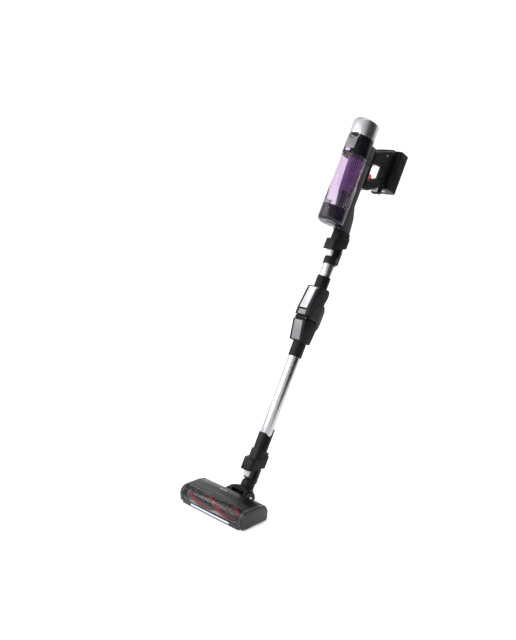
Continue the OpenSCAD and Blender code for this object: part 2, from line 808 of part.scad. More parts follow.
// One half of the handle: side is 1 on the right and -1 on the left
module handle_half(side) {
  difference() {
    union() {
      difference() {
        translate([0, 0, t_band]) side_plate(grip_x - seam, side * (grip_x + seam) / 2)
          handle_outline();
        translate([0, 0, t_band]) side_plate(2 * grip_x - 5) offset(delta = -2.5) handle_outline();
      }
      // screw pillars
      for (p = screw_spots) translate([0, p[0], t_band + p[1]])
        bar(3.6, grip_x - 1 - seam, side * (grip_x - 1 + seam) / 2);
    }
    for (p = screw_spots) translate([0, p[0], t_band + p[1]]) {
      bar(1.5, 24, grip_x - 12);
      bar(3.2, 10, grip_x + 5 - 2);
    }
    // slot and bearings of the trigger
    translate([0, trigger_b + 10.3, trigger_t + 11])
      cube([trigger_w + 2 * move_gap, 28.4, 30], center = true);
    translate([0, trigger_b, trigger_t]) bar(trigger_pin_r + run_gap, 2 * grip_x - 2);
    translate([0, column_front, t_band - 35]) cube([21, 12, 13], center = true);
  }
}

module handle_left() {
  color("#131315") at_stick() handle_half(-1);
}

module handle_right() {
  color("#131315") at_stick() handle_half(1);
}

module handle_screws() {
  color("#b9bbbe") at_stick() for (p = screw_spots) translate([0, p[0], t_band + p[1]]) difference() {
    union() {
      bar(1.5 - seam, 20, grip_x - 2 - 10);
      bar(3, 1.6, grip_x - 2 + 0.8);
    }
    translate([grip_x, 0, 0]) cube([1.2, 4, 0.9], center = true);
  }
}

module trigger() {
  color("#b51420") at_stick() translate([0, trigger_b, trigger_t]) {
    side_plate(trigger_w) hull() {
      circle(3.5);
      translate([10, 13]) circle(8, $fn = 48);
      translate([17, 8]) circle(6, $fn = 48);
    }
    bar(trigger_pin_r, 2 * grip_x - 3);
  }
}

module trigger_spring() {
  color("#9fa1a5") at_stick() translate([0, trigger_b + 8, trigger_t - 26.4])
    cylinder(r = 2.4, h = 24);
}

module battery_case() {
  color("#17171a") at_stick() translate([0, battery_y + battery_d / 2, battery_t]) difference() {
    linear_extrude(battery_h) round_rect(battery_w, battery_d, 9);
    translate([0, 0, 2.5]) linear_extrude(battery_h - 5) round_rect(battery_w - 4, battery_d - 4, 8);
    translate([0, 0, -1]) cylinder(r = 5.5 + seam, h = 10);
  }
}

module battery_cells() {
  color("#3f6f9f") at_stick() translate([0, battery_y + battery_d / 2, battery_t + battery_h - 72])
    for (x = [-19.5, 0, 19.5], y = [-9.3, 9.3]) translate([x, y, 0]) cylinder(r = 9, h = 65);
}

module charging_jack() {
  color("#55575b") at_stick() translate([0, battery_y + battery_d / 2, battery_t]) difference() {
    cylinder(r = 5.5, h = 13);
    translate([0, 0, -1]) cylinder(r = jack_r, h = 11);
  }
}

module battery_button() {
  color("#cfd0d3") at_stick() translate([0, column_front - 0.5, t_band - 35]) cube([20, 6, 12], center = true);
}

module dust_bin() {
  color("#b48ac860") at_stick() difference() {
    union() {
      translate([0, stack_y, t_bin + 1]) cylinder(r = bin_r, h = bin_l - 1, $fn = 96);
      // ears that carry the lid's hinge pin
      for (s = [-1, 1]) translate([s * lid_ear_x, 0, 0]) {
        translate([0, lid_ear_y, t_lid + 29.5]) cube([4, 5, 57], center = true);
        translate([0, lid_ear_y - 4, t_bin + 8]) cube([4, 6, 12], center = true);
        translate([0, lid_ear_y - 1.8, t_lid + 3.5]) cube([4, 8.6, 2 * lid_lug_r], center = true);
        lid_pivot() bar(lid_lug_r, 4);
      }
    }
    translate([0, stack_y, t_bin]) cylinder(r = bin_r - bin_wall, h = bin_l + 10, $fn = 96);
    translate([0, stack_y + bin_r + 5, t_band - 34]) rotate([90, 0, 0]) cylinder(r = 8, h = 12);
    lid_pivot() bar(lid_pin_r + seam, 30);
  }
}

shroud_y = stack_y + 10;

module cyclone_shroud() {
  ribs = 30;
  top = t_band - 5 - 2 * seam;
  low = t_bin + 58;
  color("#4a2560") at_stick() translate([0, shroud_y, 0]) difference() {
    union() {
      translate([0, 0, low]) cylinder(r1 = 15, r2 = 20.5, h = top - low);
      for (i = [0 : ribs - 1]) rotate([0, 0, 360 * i / ribs]) translate([15.2, 0, low])
        rotate([0, 3.3, 0]) cylinder(r = 0.9, h = top - low - 0.5, $fn = 16);
    }
    translate([0, 0, low - 1]) cylinder(r1 = 12.5, r2 = 18, h = top - low + 2);
  }
}

module cyclone_cone() {
  low = t_bin + 12;
  color("#241030") at_stick() translate([0, shroud_y, low]) difference() {
    cylinder(r1 = 9.5, r2 = 15, h = 46 - seam);
    translate([0, 0, -1]) cylinder(r1 = 7, r2 = 12.5, h = 48);
  }
}

// Seal and carrier at the bin's top, from which the cyclone hangs
module bin_gasket() {
  color("#0e0e10") at_stick() translate([0, stack_y, t_band - 5 - seam]) difference() {
    cylinder(r = bin_r - bin_wall - seam, h = 5);
    translate([0, shroud_y - stack_y, -1]) cylinder(r = 17.5, h = 10);
  }
}

module lid_pivot() {
  translate([0, lid_pivot_y, t_lid + 3.5]) children();
}

module bin_lid() {
  lid_round = 10;
  color("#2a2030") at_stick() difference() {
    union() {
      translate([0, stack_y, t_lid + 1]) rotate_extrude($fn = 96) union() {
        square([bin_r - lid_round, lid_h - 1]);
        translate([0, lid_round]) square([bin_r, lid_h - 1 - lid_round]);
        translate([bin_r - lid_round, lid_round]) circle(lid_round);
      }
      translate([0, stack_y, t_lid]) cylinder(r = 13, h = 5);
      lid_pivot() bar(lid_lug_r, 13);
      translate([0, lid_pivot_y + 0.3, t_lid + 7]) cube([13, 4.6, 7], center = true);
      // lug under the latch
      translate([0, stack_front - 0.6, t_bin - 4]) cube([22, 4.8, 7], center = true);
    }
    translate([0, stack_y, t_lid + 8]) cylinder(r = bin_r - bin_wall, h = lid_h, $fn = 96);
    // slots for the bin's hinge ears
    for (s = [-1, 1]) {
      lid_pivot() bar(lid_lug_r + move_gap, 4.8, s * lid_ear_x);
      translate([s * lid_ear_x, lid_pivot_y + 3, t_lid + 2.85]) cube([4.8, 6, 7.7], center = true);
    }
    lid_pivot() bar(lid_pin_r + run_gap, 24);
  }
}

module lid_pin() {
  color("#b5b7ba") at_stick() lid_pivot() bar(lid_pin_r, 22);
}

// Slide latch on the bin's front, above the lid's lug
module lid_latch() {
  color("#8d7f99") at_stick() difference() {
    union() {
      translate([0, stack_front - 0.2, t_bin + 5.5]) cube([22, 5.6, 9.6], center = true);
      translate([0, stack_front - 3, t_bin + 5]) cube([9, 2.4, 5], center = true);
    }
    translate([0, stack_y, t_bin - 20]) cylinder(r = bin_r + move_gap, h = 60, $fn = 96);
  }
}

head_housing();
sole_plate();
brush_window();
led_lens();
led_board();
brush_motor();
drive_belt();
end_cap_left();
end_cap_right();
motor_pulley();
roller_core();
roller_bristles();
roller_pulley();
rear_wheel_left();
rear_wheel_right();
tilt_barrel();
tilt_pins();
neck_body();
head_release_button();
wand_socket();
lower_tube();
fold_lower_shell();
fold_front_plate();
fold_hose_cover();
fold_pin();
fold_hose();
fold_upper_shell();
fold_lever();
lever_spring();
fold_grip_pad();
upper_tube();
wand_spigot();
wand_release_button();
inlet_connector();
spine_duct();
motor_housing();
motor_cap();
front_fascia();
display_lens();
fan_motor();
fan_impeller();
pleated_filter();
exhaust_filter();
handle_left();
handle_right();
handle_screws();
trigger();
trigger_spring();
charging_jack();
battery_case();
battery_cells();
battery_button();
dust_bin();
cyclone_shroud();
cyclone_cone();
bin_gasket();
bin_lid();
lid_pin();
lid_latch();
bin_release_button();
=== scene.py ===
# Looks of the cordless stick vacuum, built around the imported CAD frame.
import json
import math

import bmesh
import bpy
from mathutils import Matrix, Vector


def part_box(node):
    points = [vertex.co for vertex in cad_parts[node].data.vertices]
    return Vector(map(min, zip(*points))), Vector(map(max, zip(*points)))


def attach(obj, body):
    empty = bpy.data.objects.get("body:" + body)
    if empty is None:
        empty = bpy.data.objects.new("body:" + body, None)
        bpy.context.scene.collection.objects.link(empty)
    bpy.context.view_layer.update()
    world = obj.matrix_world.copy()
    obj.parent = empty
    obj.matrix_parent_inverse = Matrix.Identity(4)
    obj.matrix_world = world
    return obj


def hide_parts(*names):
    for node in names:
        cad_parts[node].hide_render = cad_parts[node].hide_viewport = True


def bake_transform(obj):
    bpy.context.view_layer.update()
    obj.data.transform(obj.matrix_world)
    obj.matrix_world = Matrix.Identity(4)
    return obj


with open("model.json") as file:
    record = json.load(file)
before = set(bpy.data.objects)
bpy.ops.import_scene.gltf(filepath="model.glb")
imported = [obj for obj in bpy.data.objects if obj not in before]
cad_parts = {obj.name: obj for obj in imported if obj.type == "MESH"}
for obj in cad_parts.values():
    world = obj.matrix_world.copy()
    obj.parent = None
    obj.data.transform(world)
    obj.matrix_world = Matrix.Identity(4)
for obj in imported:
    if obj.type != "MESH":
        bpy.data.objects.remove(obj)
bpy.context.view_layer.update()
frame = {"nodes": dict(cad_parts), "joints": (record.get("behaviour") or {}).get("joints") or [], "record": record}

MM = 0.001
NODES = frame["nodes"]
JOINTS = {j["name"]: j for j in frame["joints"]}
BODY_OF = {n: b for b, names in frame["record"]["behaviour"]["bodies"].items() for n in names}
SLOT_OF = {s["node"]: s["material_slot"] for s in frame["record"]["subparts"]}

# The stick's own frame: x across, p behind the wand's centre line, t up the stick
SIDE = Vector((1, 0, 0))
BACK = -Vector(JOINTS["bin_slide"]["axis"]).normalized()
UP = -Vector(JOINTS["wand_slide"]["axis"]).normalized()
TILT = Vector(JOINTS["head_tilt"]["pos_m"])
AXIS_BACK = 9  # from the head's tilt axis to the wand's centre line, in mm
AXIS_UP = 10
ORIGIN = TILT + (BACK * AXIS_BACK + UP * AXIS_UP) * MM
STICK = Matrix(
    (
        (SIDE.x * MM, BACK.x * MM, UP.x * MM, ORIGIN.x),
        (SIDE.y * MM, BACK.y * MM, UP.y * MM, ORIGIN.y),
        (SIDE.z * MM, BACK.z * MM, UP.z * MM, ORIGIN.z),
        (0, 0, 0, 1),
    )
)
TO_STICK = STICK.inverted()


def span(node):
    """Lowest and highest corner of a node in the stick's frame, in millimetres."""
    points = [TO_STICK @ v.co for v in NODES[node].data.vertices]
    low = Vector(min(p[i] for p in points) for i in range(3))
    high = Vector(max(p[i] for p in points) for i in range(3))
    return low, high


# ---------------------------------------------------------------- camera

CAMERA_AT = Vector((1.548, -2.023, 0.138))
CAMERA_YAW = math.radians(45.34)
CAMERA_DIP = math.radians(14.04)
CAMERA_ROLL = math.radians(0.562)
LENS_MM = 47.6


def make_camera():
    data = bpy.data.cameras.new("camera")
    data.lens = LENS_MM
    data.sensor_width = 36
    data.sensor_fit = "AUTO"
    camera = bpy.data.objects.new("camera", data)
    bpy.context.scene.collection.objects.link(camera)
    look = Vector(
        (
            -math.sin(CAMERA_YAW) * math.cos(CAMERA_DIP),
            math.cos(CAMERA_YAW) * math.cos(CAMERA_DIP),
            -math.sin(CAMERA_DIP),
        )
    )
    right = Vector((math.cos(CAMERA_YAW), math.sin(CAMERA_YAW), 0))
    up = right.cross(look)
    rolled_right = right * math.cos(CAMERA_ROLL) + up * math.sin(CAMERA_ROLL)
    rolled_up = up * math.cos(CAMERA_ROLL) - right * math.sin(CAMERA_ROLL)
    turn = Matrix((rolled_right, rolled_up, -look)).transposed()
    camera.matrix_world = Matrix.Translation(CAMERA_AT) @ turn.to_4x4()
    bpy.context.scene.camera = camera


make_camera()

# ---------------------------------------------------------------- materials


def shader(name):
    """A new material, with its node tree and its Principled shader."""
    mat = bpy.data.materials.new(name)
    mat.use_nodes = True
    tree = mat.node_tree
    bsdf = tree.nodes["Principled BSDF"]
    return mat, tree, bsdf


def add(tree, kind, **values):
    """A new shader node; in_Name sets the input called Name, other keywords set attributes."""
    node = tree.nodes.new(kind)
    for key, value in values.items():
        if key.startswith("in_"):
            node.inputs[key[3:].replace("_", " ")].default_value = value
        else:
            setattr(node, key, value)
    return node


def grain(tree, bsdf, scale, depth, stretch=(1, 1, 1), rough=None, kind="noise"):
    """Fine surface relief from a texture, and roughness that varies with a coarser one."""
    coords = add(tree, "ShaderNodeTexCoord")
    mapping = add(tree, "ShaderNodeMapping")
    mapping.inputs["Scale"].default_value = stretch
    tree.links.new(coords.outputs["Object"], mapping.inputs["Vector"])
    if kind == "leather":
        fine = add(tree, "ShaderNodeTexVoronoi", in_Scale=scale)
        height = fine.outputs["Distance"]
    else:
        fine = add(tree, "ShaderNodeTexNoise", in_Scale=scale, in_Detail=4.0)
        height = fine.outputs["Fac"]
    tree.links.new(mapping.outputs["Vector"], fine.inputs["Vector"])
    bump = add(tree, "ShaderNodeBump", in_Strength=0.2, in_Distance=depth)
    tree.links.new(height, bump.inputs["Height"])
    tree.links.new(bump.outputs["Normal"], bsdf.inputs["Normal"])
    if rough:
        coarse = add(tree, "ShaderNodeTexNoise", in_Scale=60.0, in_Detail=3.0)
        tree.links.new(coords.outputs["Object"], coarse.inputs["Vector"])
        spread = add(tree, "ShaderNodeMapRange", in_To_Min=rough[0], in_To_Max=rough[1])
        tree.links.new(coarse.outputs["Fac"], spread.inputs["Value"])
        tree.links.new(spread.outputs["Result"], bsdf.inputs["Roughness"])
    return coords, mapping


def mottle_and_edge_highlight(tree, bsdf, colour, edge, share=0.35):
    """The base colour, mottled by a slow noise, with a painted highlight that makes it lighter along convex edges.
    """
    noise = add(tree, "ShaderNodeTexNoise", in_Scale=25.0, in_Detail=2.0)
    mottle = add(tree, "ShaderNodeMix", data_type="RGBA")
    mottle.inputs["A"].default_value = (*colour, 1)
    mottle.inputs["B"].default_value = (*[c * 1.25 + 0.001 for c in colour], 1)
    tree.links.new(noise.outputs["Fac"], mottle.inputs["Factor"])
    shape = add(tree, "ShaderNodeNewGeometry")
    # Pointiness picks out convex edges, which get the painted highlight colour
    edge_highlight_mask = add(
        tree, "ShaderNodeMapRange", in_From_Min=0.52, in_From_Max=0.62, in_To_Max=share
    )
    tree.links.new(shape.outputs["Pointiness"], edge_highlight_mask.inputs["Value"])
    mix = add(tree, "ShaderNodeMix", data_type="RGBA")
    mix.inputs["B"].default_value = (*edge, 1)
    tree.links.new(edge_highlight_mask.outputs["Result"], mix.inputs["Factor"])
    tree.links.new(mottle.outputs["Result"], mix.inputs["A"])
    tree.links.new(mix.outputs["Result"], bsdf.inputs["Base Color"])


PEBBLED = 0.00003  # a plastic with deeper relief than this, in metres, has a pebbled surface


def plastic(name, colour, rough=(0.3, 0.42), depth=0.00002, scale=1800, specular=0.35, coat=0):
    mat, tree, bsdf = shader(name)
    grain(tree, bsdf, scale, depth, rough=rough, kind="leather" if depth > PEBBLED else "noise")
    # The edge colour, about twice as light, is a painted edge highlight
    mottle_and_edge_highlight(tree, bsdf, colour, [min(1, c * 2 + 0.01) for c in colour])
    bsdf.inputs["Specular IOR Level"].default_value = specular
    bsdf.inputs["Coat Weight"].default_value = coat
    bsdf.inputs["Coat Roughness"].default_value = 0.08
    return mat


def metal(name, colour, rough=(0.2, 0.3), stretch=(1, 1, 1), depth=0.00001, anisotropic=0.0):
    mat, tree, bsdf = shader(name)
    grain(tree, bsdf, 1500, depth, stretch=stretch, rough=rough)
    # The edge colour, a tenth lighter, is a painted edge highlight
    mottle_and_edge_highlight(tree, bsdf, colour, [min(1, c * 1.1) for c in colour])
    bsdf.inputs["Metallic"].default_value = 1
    bsdf.inputs["Anisotropic"].default_value = anisotropic
    return mat


def clear(name, tint, ior, rough=(0.03, 0.08)):
    """Tinted see-through plastic."""
    mat, tree, bsdf = shader(name)
    grain(tree, bsdf, 300, 0.000001, rough=rough)
    bsdf.inputs["Base Color"].default_value = (*tint, 1)
    bsdf.inputs["Transmission Weight"].default_value = 1
    bsdf.inputs["IOR"].default_value = ior
    return mat


def cloth_like(name, colour, dark, scale=2500, depth=0.0002):
    """Bristles, fleece, filter paper and foam: rough, with a fibre relief and uneven colour."""
    mat, tree, bsdf = shader(name)
    coords, mapping = grain(tree, bsdf, scale, depth)
    noise = add(tree, "ShaderNodeTexNoise", in_Scale=scale * 0.3, in_Detail=5.0)
    tree.links.new(mapping.outputs["Vector"], noise.inputs["Vector"])
    mix = add(tree, "ShaderNodeMix", data_type="RGBA")
    mix.inputs["A"].default_value = (*dark, 1)
    mix.inputs["B"].default_value = (*colour, 1)
    tree.links.new(noise.outputs["Fac"], mix.inputs["Factor"])
    tree.links.new(mix.outputs["Result"], bsdf.inputs["Base Color"])
    bsdf.inputs["Roughness"].default_value = 0.85
    bsdf.inputs["Sheen Weight"].default_value = 0.3
    return mat


def lamp(name):
    """A milky lens that is lit from behind."""
    mat, tree, bsdf = shader(name)
    grain(tree, bsdf, 500, 0.00002, rough=(0.3, 0.4))
    bsdf.inputs["Base Color"].default_value = (0.34, 0.38, 0.46, 1)
    bsdf.inputs["Emission Color"].default_value = (0.86, 0.91, 1, 1)
    bsdf.inputs["Emission Strength"].default_value = 0.3
    return mat


MATERIALS = {
    "black_gloss": plastic("black_gloss", (0.003, 0.003, 0.004), (0.2, 0.3), specular=0.16),
    "black_satin": plastic("black_satin", (0.004, 0.004, 0.005), (0.34, 0.46), 0.00005, 1500, 0.12),
    "dark_grey": plastic("dark_grey", (0.016, 0.016, 0.018), (0.32, 0.44), 0.00004, 1500, 0.28),
    "mid_grey": plastic("mid_grey", (0.13, 0.13, 0.14), (0.2, 0.3)),
    "light_grey": plastic("light_grey", (0.4, 0.4, 0.42), (0.22, 0.32), coat=0.3),
    "silver": metal("silver", (0.44, 0.44, 0.46), (0.3, 0.38), (1, 1, 12)),
    "tube_aluminium": metal(
        "tube_aluminium", (0.4, 0.4, 0.42), (0.24, 0.32), (8, 8, 1), anisotropic=0.3
    ),
    "steel": metal("steel", (0.55, 0.55, 0.57), (0.25, 0.4)),
    "clear_smoke": clear("clear_smoke", (0.66, 0.66, 0.68), ior=1.25),
    "clear_purple": clear("clear_purple", (0.82, 0.72, 0.85), ior=1.3),
    "purple": plastic("purple", (0.15, 0.05, 0.2), (0.3, 0.4)),
    "dark_purple": plastic("dark_purple", (0.006, 0.003, 0.01), (0.2, 0.3), specular=0.3),
    "lilac": plastic("lilac", (0.36, 0.26, 0.44), (0.15, 0.25), coat=0.4),
    "red": plastic("red", (0.5, 0.008, 0.012), (0.14, 0.22), coat=0.5),
    "red_core": cloth_like("red_core", (0.05, 0.008, 0.012), (0.02, 0.004, 0.006)),
    "bristle": cloth_like("bristle", (0.5, 0.014, 0.03), (0.3, 0.008, 0.016)),
    "lamp": lamp("lamp"),
    "board": plastic("board", (0.02, 0.11, 0.045), (0.3, 0.4)),
    "pulley": plastic("pulley", (0.6, 0.6, 0.56), (0.35, 0.45)),
    "rubber": plastic("rubber", (0.012, 0.012, 0.013), (0.6, 0.75), 0.00006, 1200, specular=0.25),
    "filter_paper": cloth_like("filter_paper", (0.82, 0.8, 0.74), (0.66, 0.64, 0.58)),
    "foam": cloth_like("foam", (0.75, 0.73, 0.68), (0.5, 0.48, 0.44), 900, 0.0005),
    "impeller_green": plastic("impeller_green", (0.03, 0.2, 0.13), (0.3, 0.4)),
    "motor_can": metal("motor_can", (0.45, 0.45, 0.47), (0.3, 0.42)),
    "cell_wrap": plastic("cell_wrap", (0.06, 0.17, 0.36), (0.25, 0.35)),
    "display": plastic("display", (0.003, 0.003, 0.004), (0.05, 0.09), 0.000004, coat=1),
}

# Every CAD node starts with its slot's material, whether or not a finer piece hides it
for node_name, node_object in NODES.items():
    node_object.data.materials.clear()
    node_object.data.materials.append(MATERIALS[SLOT_OF[node_name]])

# ---------------------------------------------------------------- mesh helpers

WELD = 2e-6  # points closer than this, in metres, are one


def shade_smooth(obj):
    for polygon in obj.data.polygons:
        polygon.use_smooth = True


def finish_piece(obj, node=None, body=None, slot=None, sharp=32):
    """Shading, material, body and slot of a piece that replaces a node or is trim on a body."""
    slot = slot or SLOT_OF[node]
    obj.data.materials.clear()
    obj.data.materials.append(MATERIALS[slot])
    shade_smooth(obj)
    obj.data.set_sharp_from_angle(angle=math.radians(sharp))
    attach(obj, body or BODY_OF[node])
    if node:
        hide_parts(node)
    return obj


def piece_from(bm, name, matrix=None):
    """An object made from a bmesh, which is freed."""
    mesh = bpy.data.meshes.new(name)
    bmesh.ops.recalc_face_normals(bm, faces=bm.faces)
    bm.to_mesh(mesh)
    bm.free()
    if matrix:
        mesh.transform(matrix)
    obj = bpy.data.objects.new(name, mesh)
    bpy.context.scene.collection.objects.link(obj)
    return obj


def apply_modifiers(obj):
    graph = bpy.context.evaluated_depsgraph_get()
    baked = bpy.data.meshes.new_from_object(obj.evaluated_get(graph))
    obj.modifiers.clear()
    obj.data = baked


def welded(node):
    """The node's CAD mesh as a bmesh without doubled points."""
    bm = bmesh.new()
    bm.from_mesh(NODES[node].data)
    bmesh.ops.remove_doubles(bm, verts=bm.verts, dist=WELD)
    return bm


def softened(node, radius):
    """The node's own shape with every hard edge rounded over, as a moulding has."""
    bm = welded(node)
    bmesh.ops.dissolve_limit(bm, angle_limit=math.radians(1), verts=bm.verts, edges=bm.edges)
    obj = piece_from(bm, node + "_skin")
    bevel = obj.modifiers.new("round", "BEVEL")
    bevel.width = radius * MM
    bevel.segments = 3
    bevel.limit_method = "ANGLE"
    bevel.angle_limit = math.radians(30)
    bevel.use_clamp_overlap = True
    bevel.miter_outer = "MITER_ARC"
    bevel.harden_normals = False
    apply_modifiers(obj)
    finish_piece(obj, node)


def sculpted(node, voxel=1.0, passes=6, factor=0.5):
    """The node's shape remeshed and relaxed, so that all of its edges flow into each other."""
    obj = piece_from(welded(node), node + "_skin")
    remesh = obj.modifiers.new("skin", "REMESH")
    remesh.mode = "VOXEL"
    remesh.voxel_size = voxel * MM
    relax = obj.modifiers.new("relax", "SMOOTH")
    relax.factor = factor
    relax.iterations = passes
    apply_modifiers(obj)
    return finish_piece(obj, node, sharp=180)


def rings_piece(name, rings, matrix, closed=False, caps=True):
    """A skin over rings of points; each ring has the same number of points."""
    bm = bmesh.new()
    rows = [[bm.verts.new(p) for p in ring] for ring in rings]
    n = len(rows[0])
    pairs = list(zip(rows, rows[1:])) + ([(rows[-1], rows[0])] if closed else [])
    for a, b in pairs:
        for i in range(n):
            bm.faces.new((a[i], a[(i + 1) % n], b[(i + 1) % n], b[i]))
    if caps and not closed:
        bm.faces.new(rows[0])
        bm.faces.new(rows[-1])
    return piece_from(bm, name, matrix)


def circle_ring(cx, cy, z, radius, count):
    turn = 2 * math.pi / count
    return [
        Vector((cx + radius * math.cos(i * turn), cy + radius * math.sin(i * turn), z))
        for i in range(count)
    ]


# ---------------------------------------------------------------- stick and fold joint

# How far each node's hard edges are rounded, in mm
EDGE_RADIUS = {
    "head_housing": 1.2, "sole_plate": 0.6, "brush_window": 0.4, "end_cap_left": 1.8,
    "end_cap_right": 1.8, "head_release_button": 0.9, "wand_socket": 1.3, "lower_tube": 0.25,
    "fold_lower_shell": 1.3, "fold_front_plate": 0.7, "fold_hose_cover": 2.2,
    "fold_upper_shell": 1.3, "fold_lever": 0.9, "fold_grip_pad": 0.25, "upper_tube": 0.25,
    "wand_spigot": 0.8, "wand_release_button": 0.9, "inlet_connector": 1.3, "spine_duct": 1.6,
    "motor_housing": 0.8, "motor_cap": 0.5, "front_fascia": 0.5, "display_lens": 0.5,
    "dust_bin": 0.5, "cyclone_cone": 0.5, "bin_gasket": 0.4, "bin_lid": 0.8, "lid_latch": 0.8,
    "bin_release_button": 0.6, "battery_case": 3.2, "battery_button": 0.9, "trigger": 1.2,
    "neck_body": 0.8, "rear_wheel_left": 1.0, "rear_wheel_right": 1.0, "handle_screws": 0.2,
}
for node_name, edge_radius in EDGE_RADIUS.items():
    softened(node_name, edge_radius)
sculpted("tilt_barrel")

# ---------------------------------------------------------------- handle and battery

BAND_T = span("motor_housing")[0].z - 2  # the height that the handle's shape starts from
# Outer and inner edge of the handle's loop, behind the wand's centre line and above the bin
HANDLE_RIMS = [
    [(0, -65), (28, -60), (58, -42), (75, -26), (75, -44), (93, -44), (93, 97), (79, 96),
     (43, 79), (0, 54)],
    [(14, -28), (40, -19), (62, -7), (75, 2), (75, 36), (58, 33), (34, 22), (14, 18)],
]
GRIP_X = span("handle_right")[1].x
GRIP_ROUND = 8.5


def rim_distance(p, t):
    """How far a point is from the nearer edge of the loop, up to GRIP_ROUND."""
    best = GRIP_ROUND
    for rim in HANDLE_RIMS:
        for (ax, ay), (bx, by) in zip(rim, rim[1:] + rim[:1]):
            dx, dy = bx - ax, by - ay
            share = ((p - ax) * dx + (t - ay) * dy) / (dx * dx + dy * dy)
            share = min(1, max(0, share))
            best = min(best, math.hypot(p - ax - share * dx, t - ay - share * dy))
    return best


def rounded_grip(node):
    """A handle half whose outer edges are drawn in to a full round, as the grip's are."""
    obj = sculpted(node)
    for vertex in obj.data.vertices:
        x, p, t = TO_STICK @ vertex.co
        if abs(x) < GRIP_X - GRIP_ROUND:
            continue
        drop = GRIP_ROUND - rim_distance(p, t - BAND_T)
        limit = GRIP_X - GRIP_ROUND + math.sqrt(max(0, GRIP_ROUND**2 - drop**2))
        if abs(x) > limit:
            vertex.co = STICK @ Vector((math.copysign(limit, x), p, t))


for grip_half in ("handle_left", "handle_right"):
    rounded_grip(grip_half)


def strip(name, body, slot, corners, rounding=0.5, matrix=STICK):
    """A small trim block between two corners, with round edges, riding on a body."""
    low, high = Vector(corners[0]), Vector(corners[1])
    bm = bmesh.new()
    bmesh.ops.create_cube(bm, size=1)
    for vertex in bm.verts:
        vertex.co = Vector(
            low[i] + (high[i] - low[i]) * (vertex.co[i] + 0.5) for i in range(3)
        )
    bmesh.ops.bevel(
        bm, geom=bm.edges[:], offset=rounding, segments=3, affect="EDGES", profile=0.5
    )
    finish_piece(piece_from(bm, name, matrix), body=body, slot=slot, sharp=60)


def tube_mesh(name, path, radius, matrix=STICK, closed=True, count=12):
    """A round bead along a path of points."""
    rings = []
    total = len(path)
    side = None
    for i, point in enumerate(path):
        ahead = path[(i + 1) % total] if closed or i + 1 < total else point
        behind = path[i - 1] if closed or i else point
        run = (ahead - behind).normalized()
        side = run.orthogonal() if side is None else side - side.dot(run) * run
        side = side.normalized()
        up = run.cross(side)
        rings.append([
            point + radius * (side * math.cos(a) + up * math.sin(a))
            for a in (2 * math.pi * k / count for k in range(count))
        ])
    return rings_piece(name, rings, matrix, closed=closed)


WIRE_R = 0.45 * MM
COIL_GAP = 0.05 * MM
COIL_STEPS = 14  # points in one turn of a coil


def coil_spring(node, turns, towards):
    """A wire coil in place of the node's cylinder.

    towards is a rough direction, in the stick's frame, from the fixed end to the pressed one.
    """
    world = NODES[node].matrix_world
    points = [world @ v.co for v in NODES[node].data.vertices]
    centre = sum(points, Vector()) / len(points)
    corner_reach = max((point - centre).length for point in points)
    rough = STICK.to_3x3() @ Vector(towards)
    far = [point for point in points if (point - centre).dot(rough) > 0]
    half = sum(far, Vector()) / len(far) - centre
    radius = math.sqrt(corner_reach**2 - half.length**2) - WIRE_R - COIL_GAP
    run = half.normalized()
    side = run.orthogonal().normalized()
    up = run.cross(side)
    reach = half * (1 - WIRE_R / half.length)
    steps = turns * COIL_STEPS
    path = []
    for i in range(steps + 1):
        a = 2 * math.pi * i / COIL_STEPS
        turn = radius * (side * math.cos(a) + up * math.sin(a))
        path.append(centre + reach * (2 * i / steps - 1) + turn)
    obj = tube_mesh(node + "_coil", path, WIRE_R, None, closed=False, count=8)
    obj.data.materials.append(MATERIALS[SLOT_OF[node]])
    shade_smooth(obj)
    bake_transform(obj)
    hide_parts(node)


coil_spring("trigger_spring", 9, (0, 0, 1))
coil_spring("lever_spring", 5, (0, -1, 0))

# Light rim round the display, which follows the drum
lens_low, lens_high = span("display_lens")
cap_low, cap_high = span("motor_cap")
STACK_P = (cap_low.y + cap_high.y) / 2
DRUM_R = (cap_high.y - cap_low.y) / 2


def on_drum(u, t, radius):
    """A point u mm round the drum from its front, at height t."""
    a = u / radius
    return Vector((radius * math.sin(a), STACK_P - radius * math.cos(a), t))


def round_outline(half_w, half_h, corner, steps=8):
    """A rectangle with round corners, as a list of points."""
    points = []
    for quarter, (sx, sy) in enumerate(((1, 1), (-1, 1), (-1, -1), (1, -1))):
        for k in range(steps + 1):
            a = math.pi / 2 * (quarter + k / steps)
            points.append((sx * (half_w - corner) + corner * math.cos(a),
                           sy * (half_h - corner) + corner * math.sin(a)))
    return points


lens_t = (lens_low.z + lens_high.z) / 2
RIM_R = 0.7
RIM_OUT = 0.6  # how far the bead's centre stands off the drum
RIM_HALF_W, RIM_HALF_H, RIM_CORNER = 18.2, 8.1, 4.4
rim_path = [
    on_drum(u, lens_t + v, DRUM_R + RIM_OUT)
    for u, v in round_outline(RIM_HALF_W, RIM_HALF_H, RIM_CORNER)
]
rim = tube_mesh("display_rim", rim_path, RIM_R)
finish_piece(rim, body="handheld", slot="light_grey", sharp=60)

# Fine ridges down the battery's sides
case_low, case_high = span("battery_case")
RIDGE_SHARES = (0.3, 0.42, 0.54, 0.66)  # where they stand, from the case's front to its back
RIDGE_OUT, RIDGE_HALF_W = 0.5, 0.7
ridge_low, ridge_high = case_low.z + 14, case_high.z - 12
for side in (-1, 1):
    for share in RIDGE_SHARES:
        p = case_low.y + share * (case_high.y - case_low.y)
        x = side * case_high.x
        corners = (
            (x - RIDGE_OUT, p - RIDGE_HALF_W, ridge_low),
            (x + RIDGE_OUT, p + RIDGE_HALF_W, ridge_high),
        )
        strip(f"battery_ridge_{side}_{share}", "battery", "black_satin", corners, 0.3)

# ---------------------------------------------------------------- dust bin


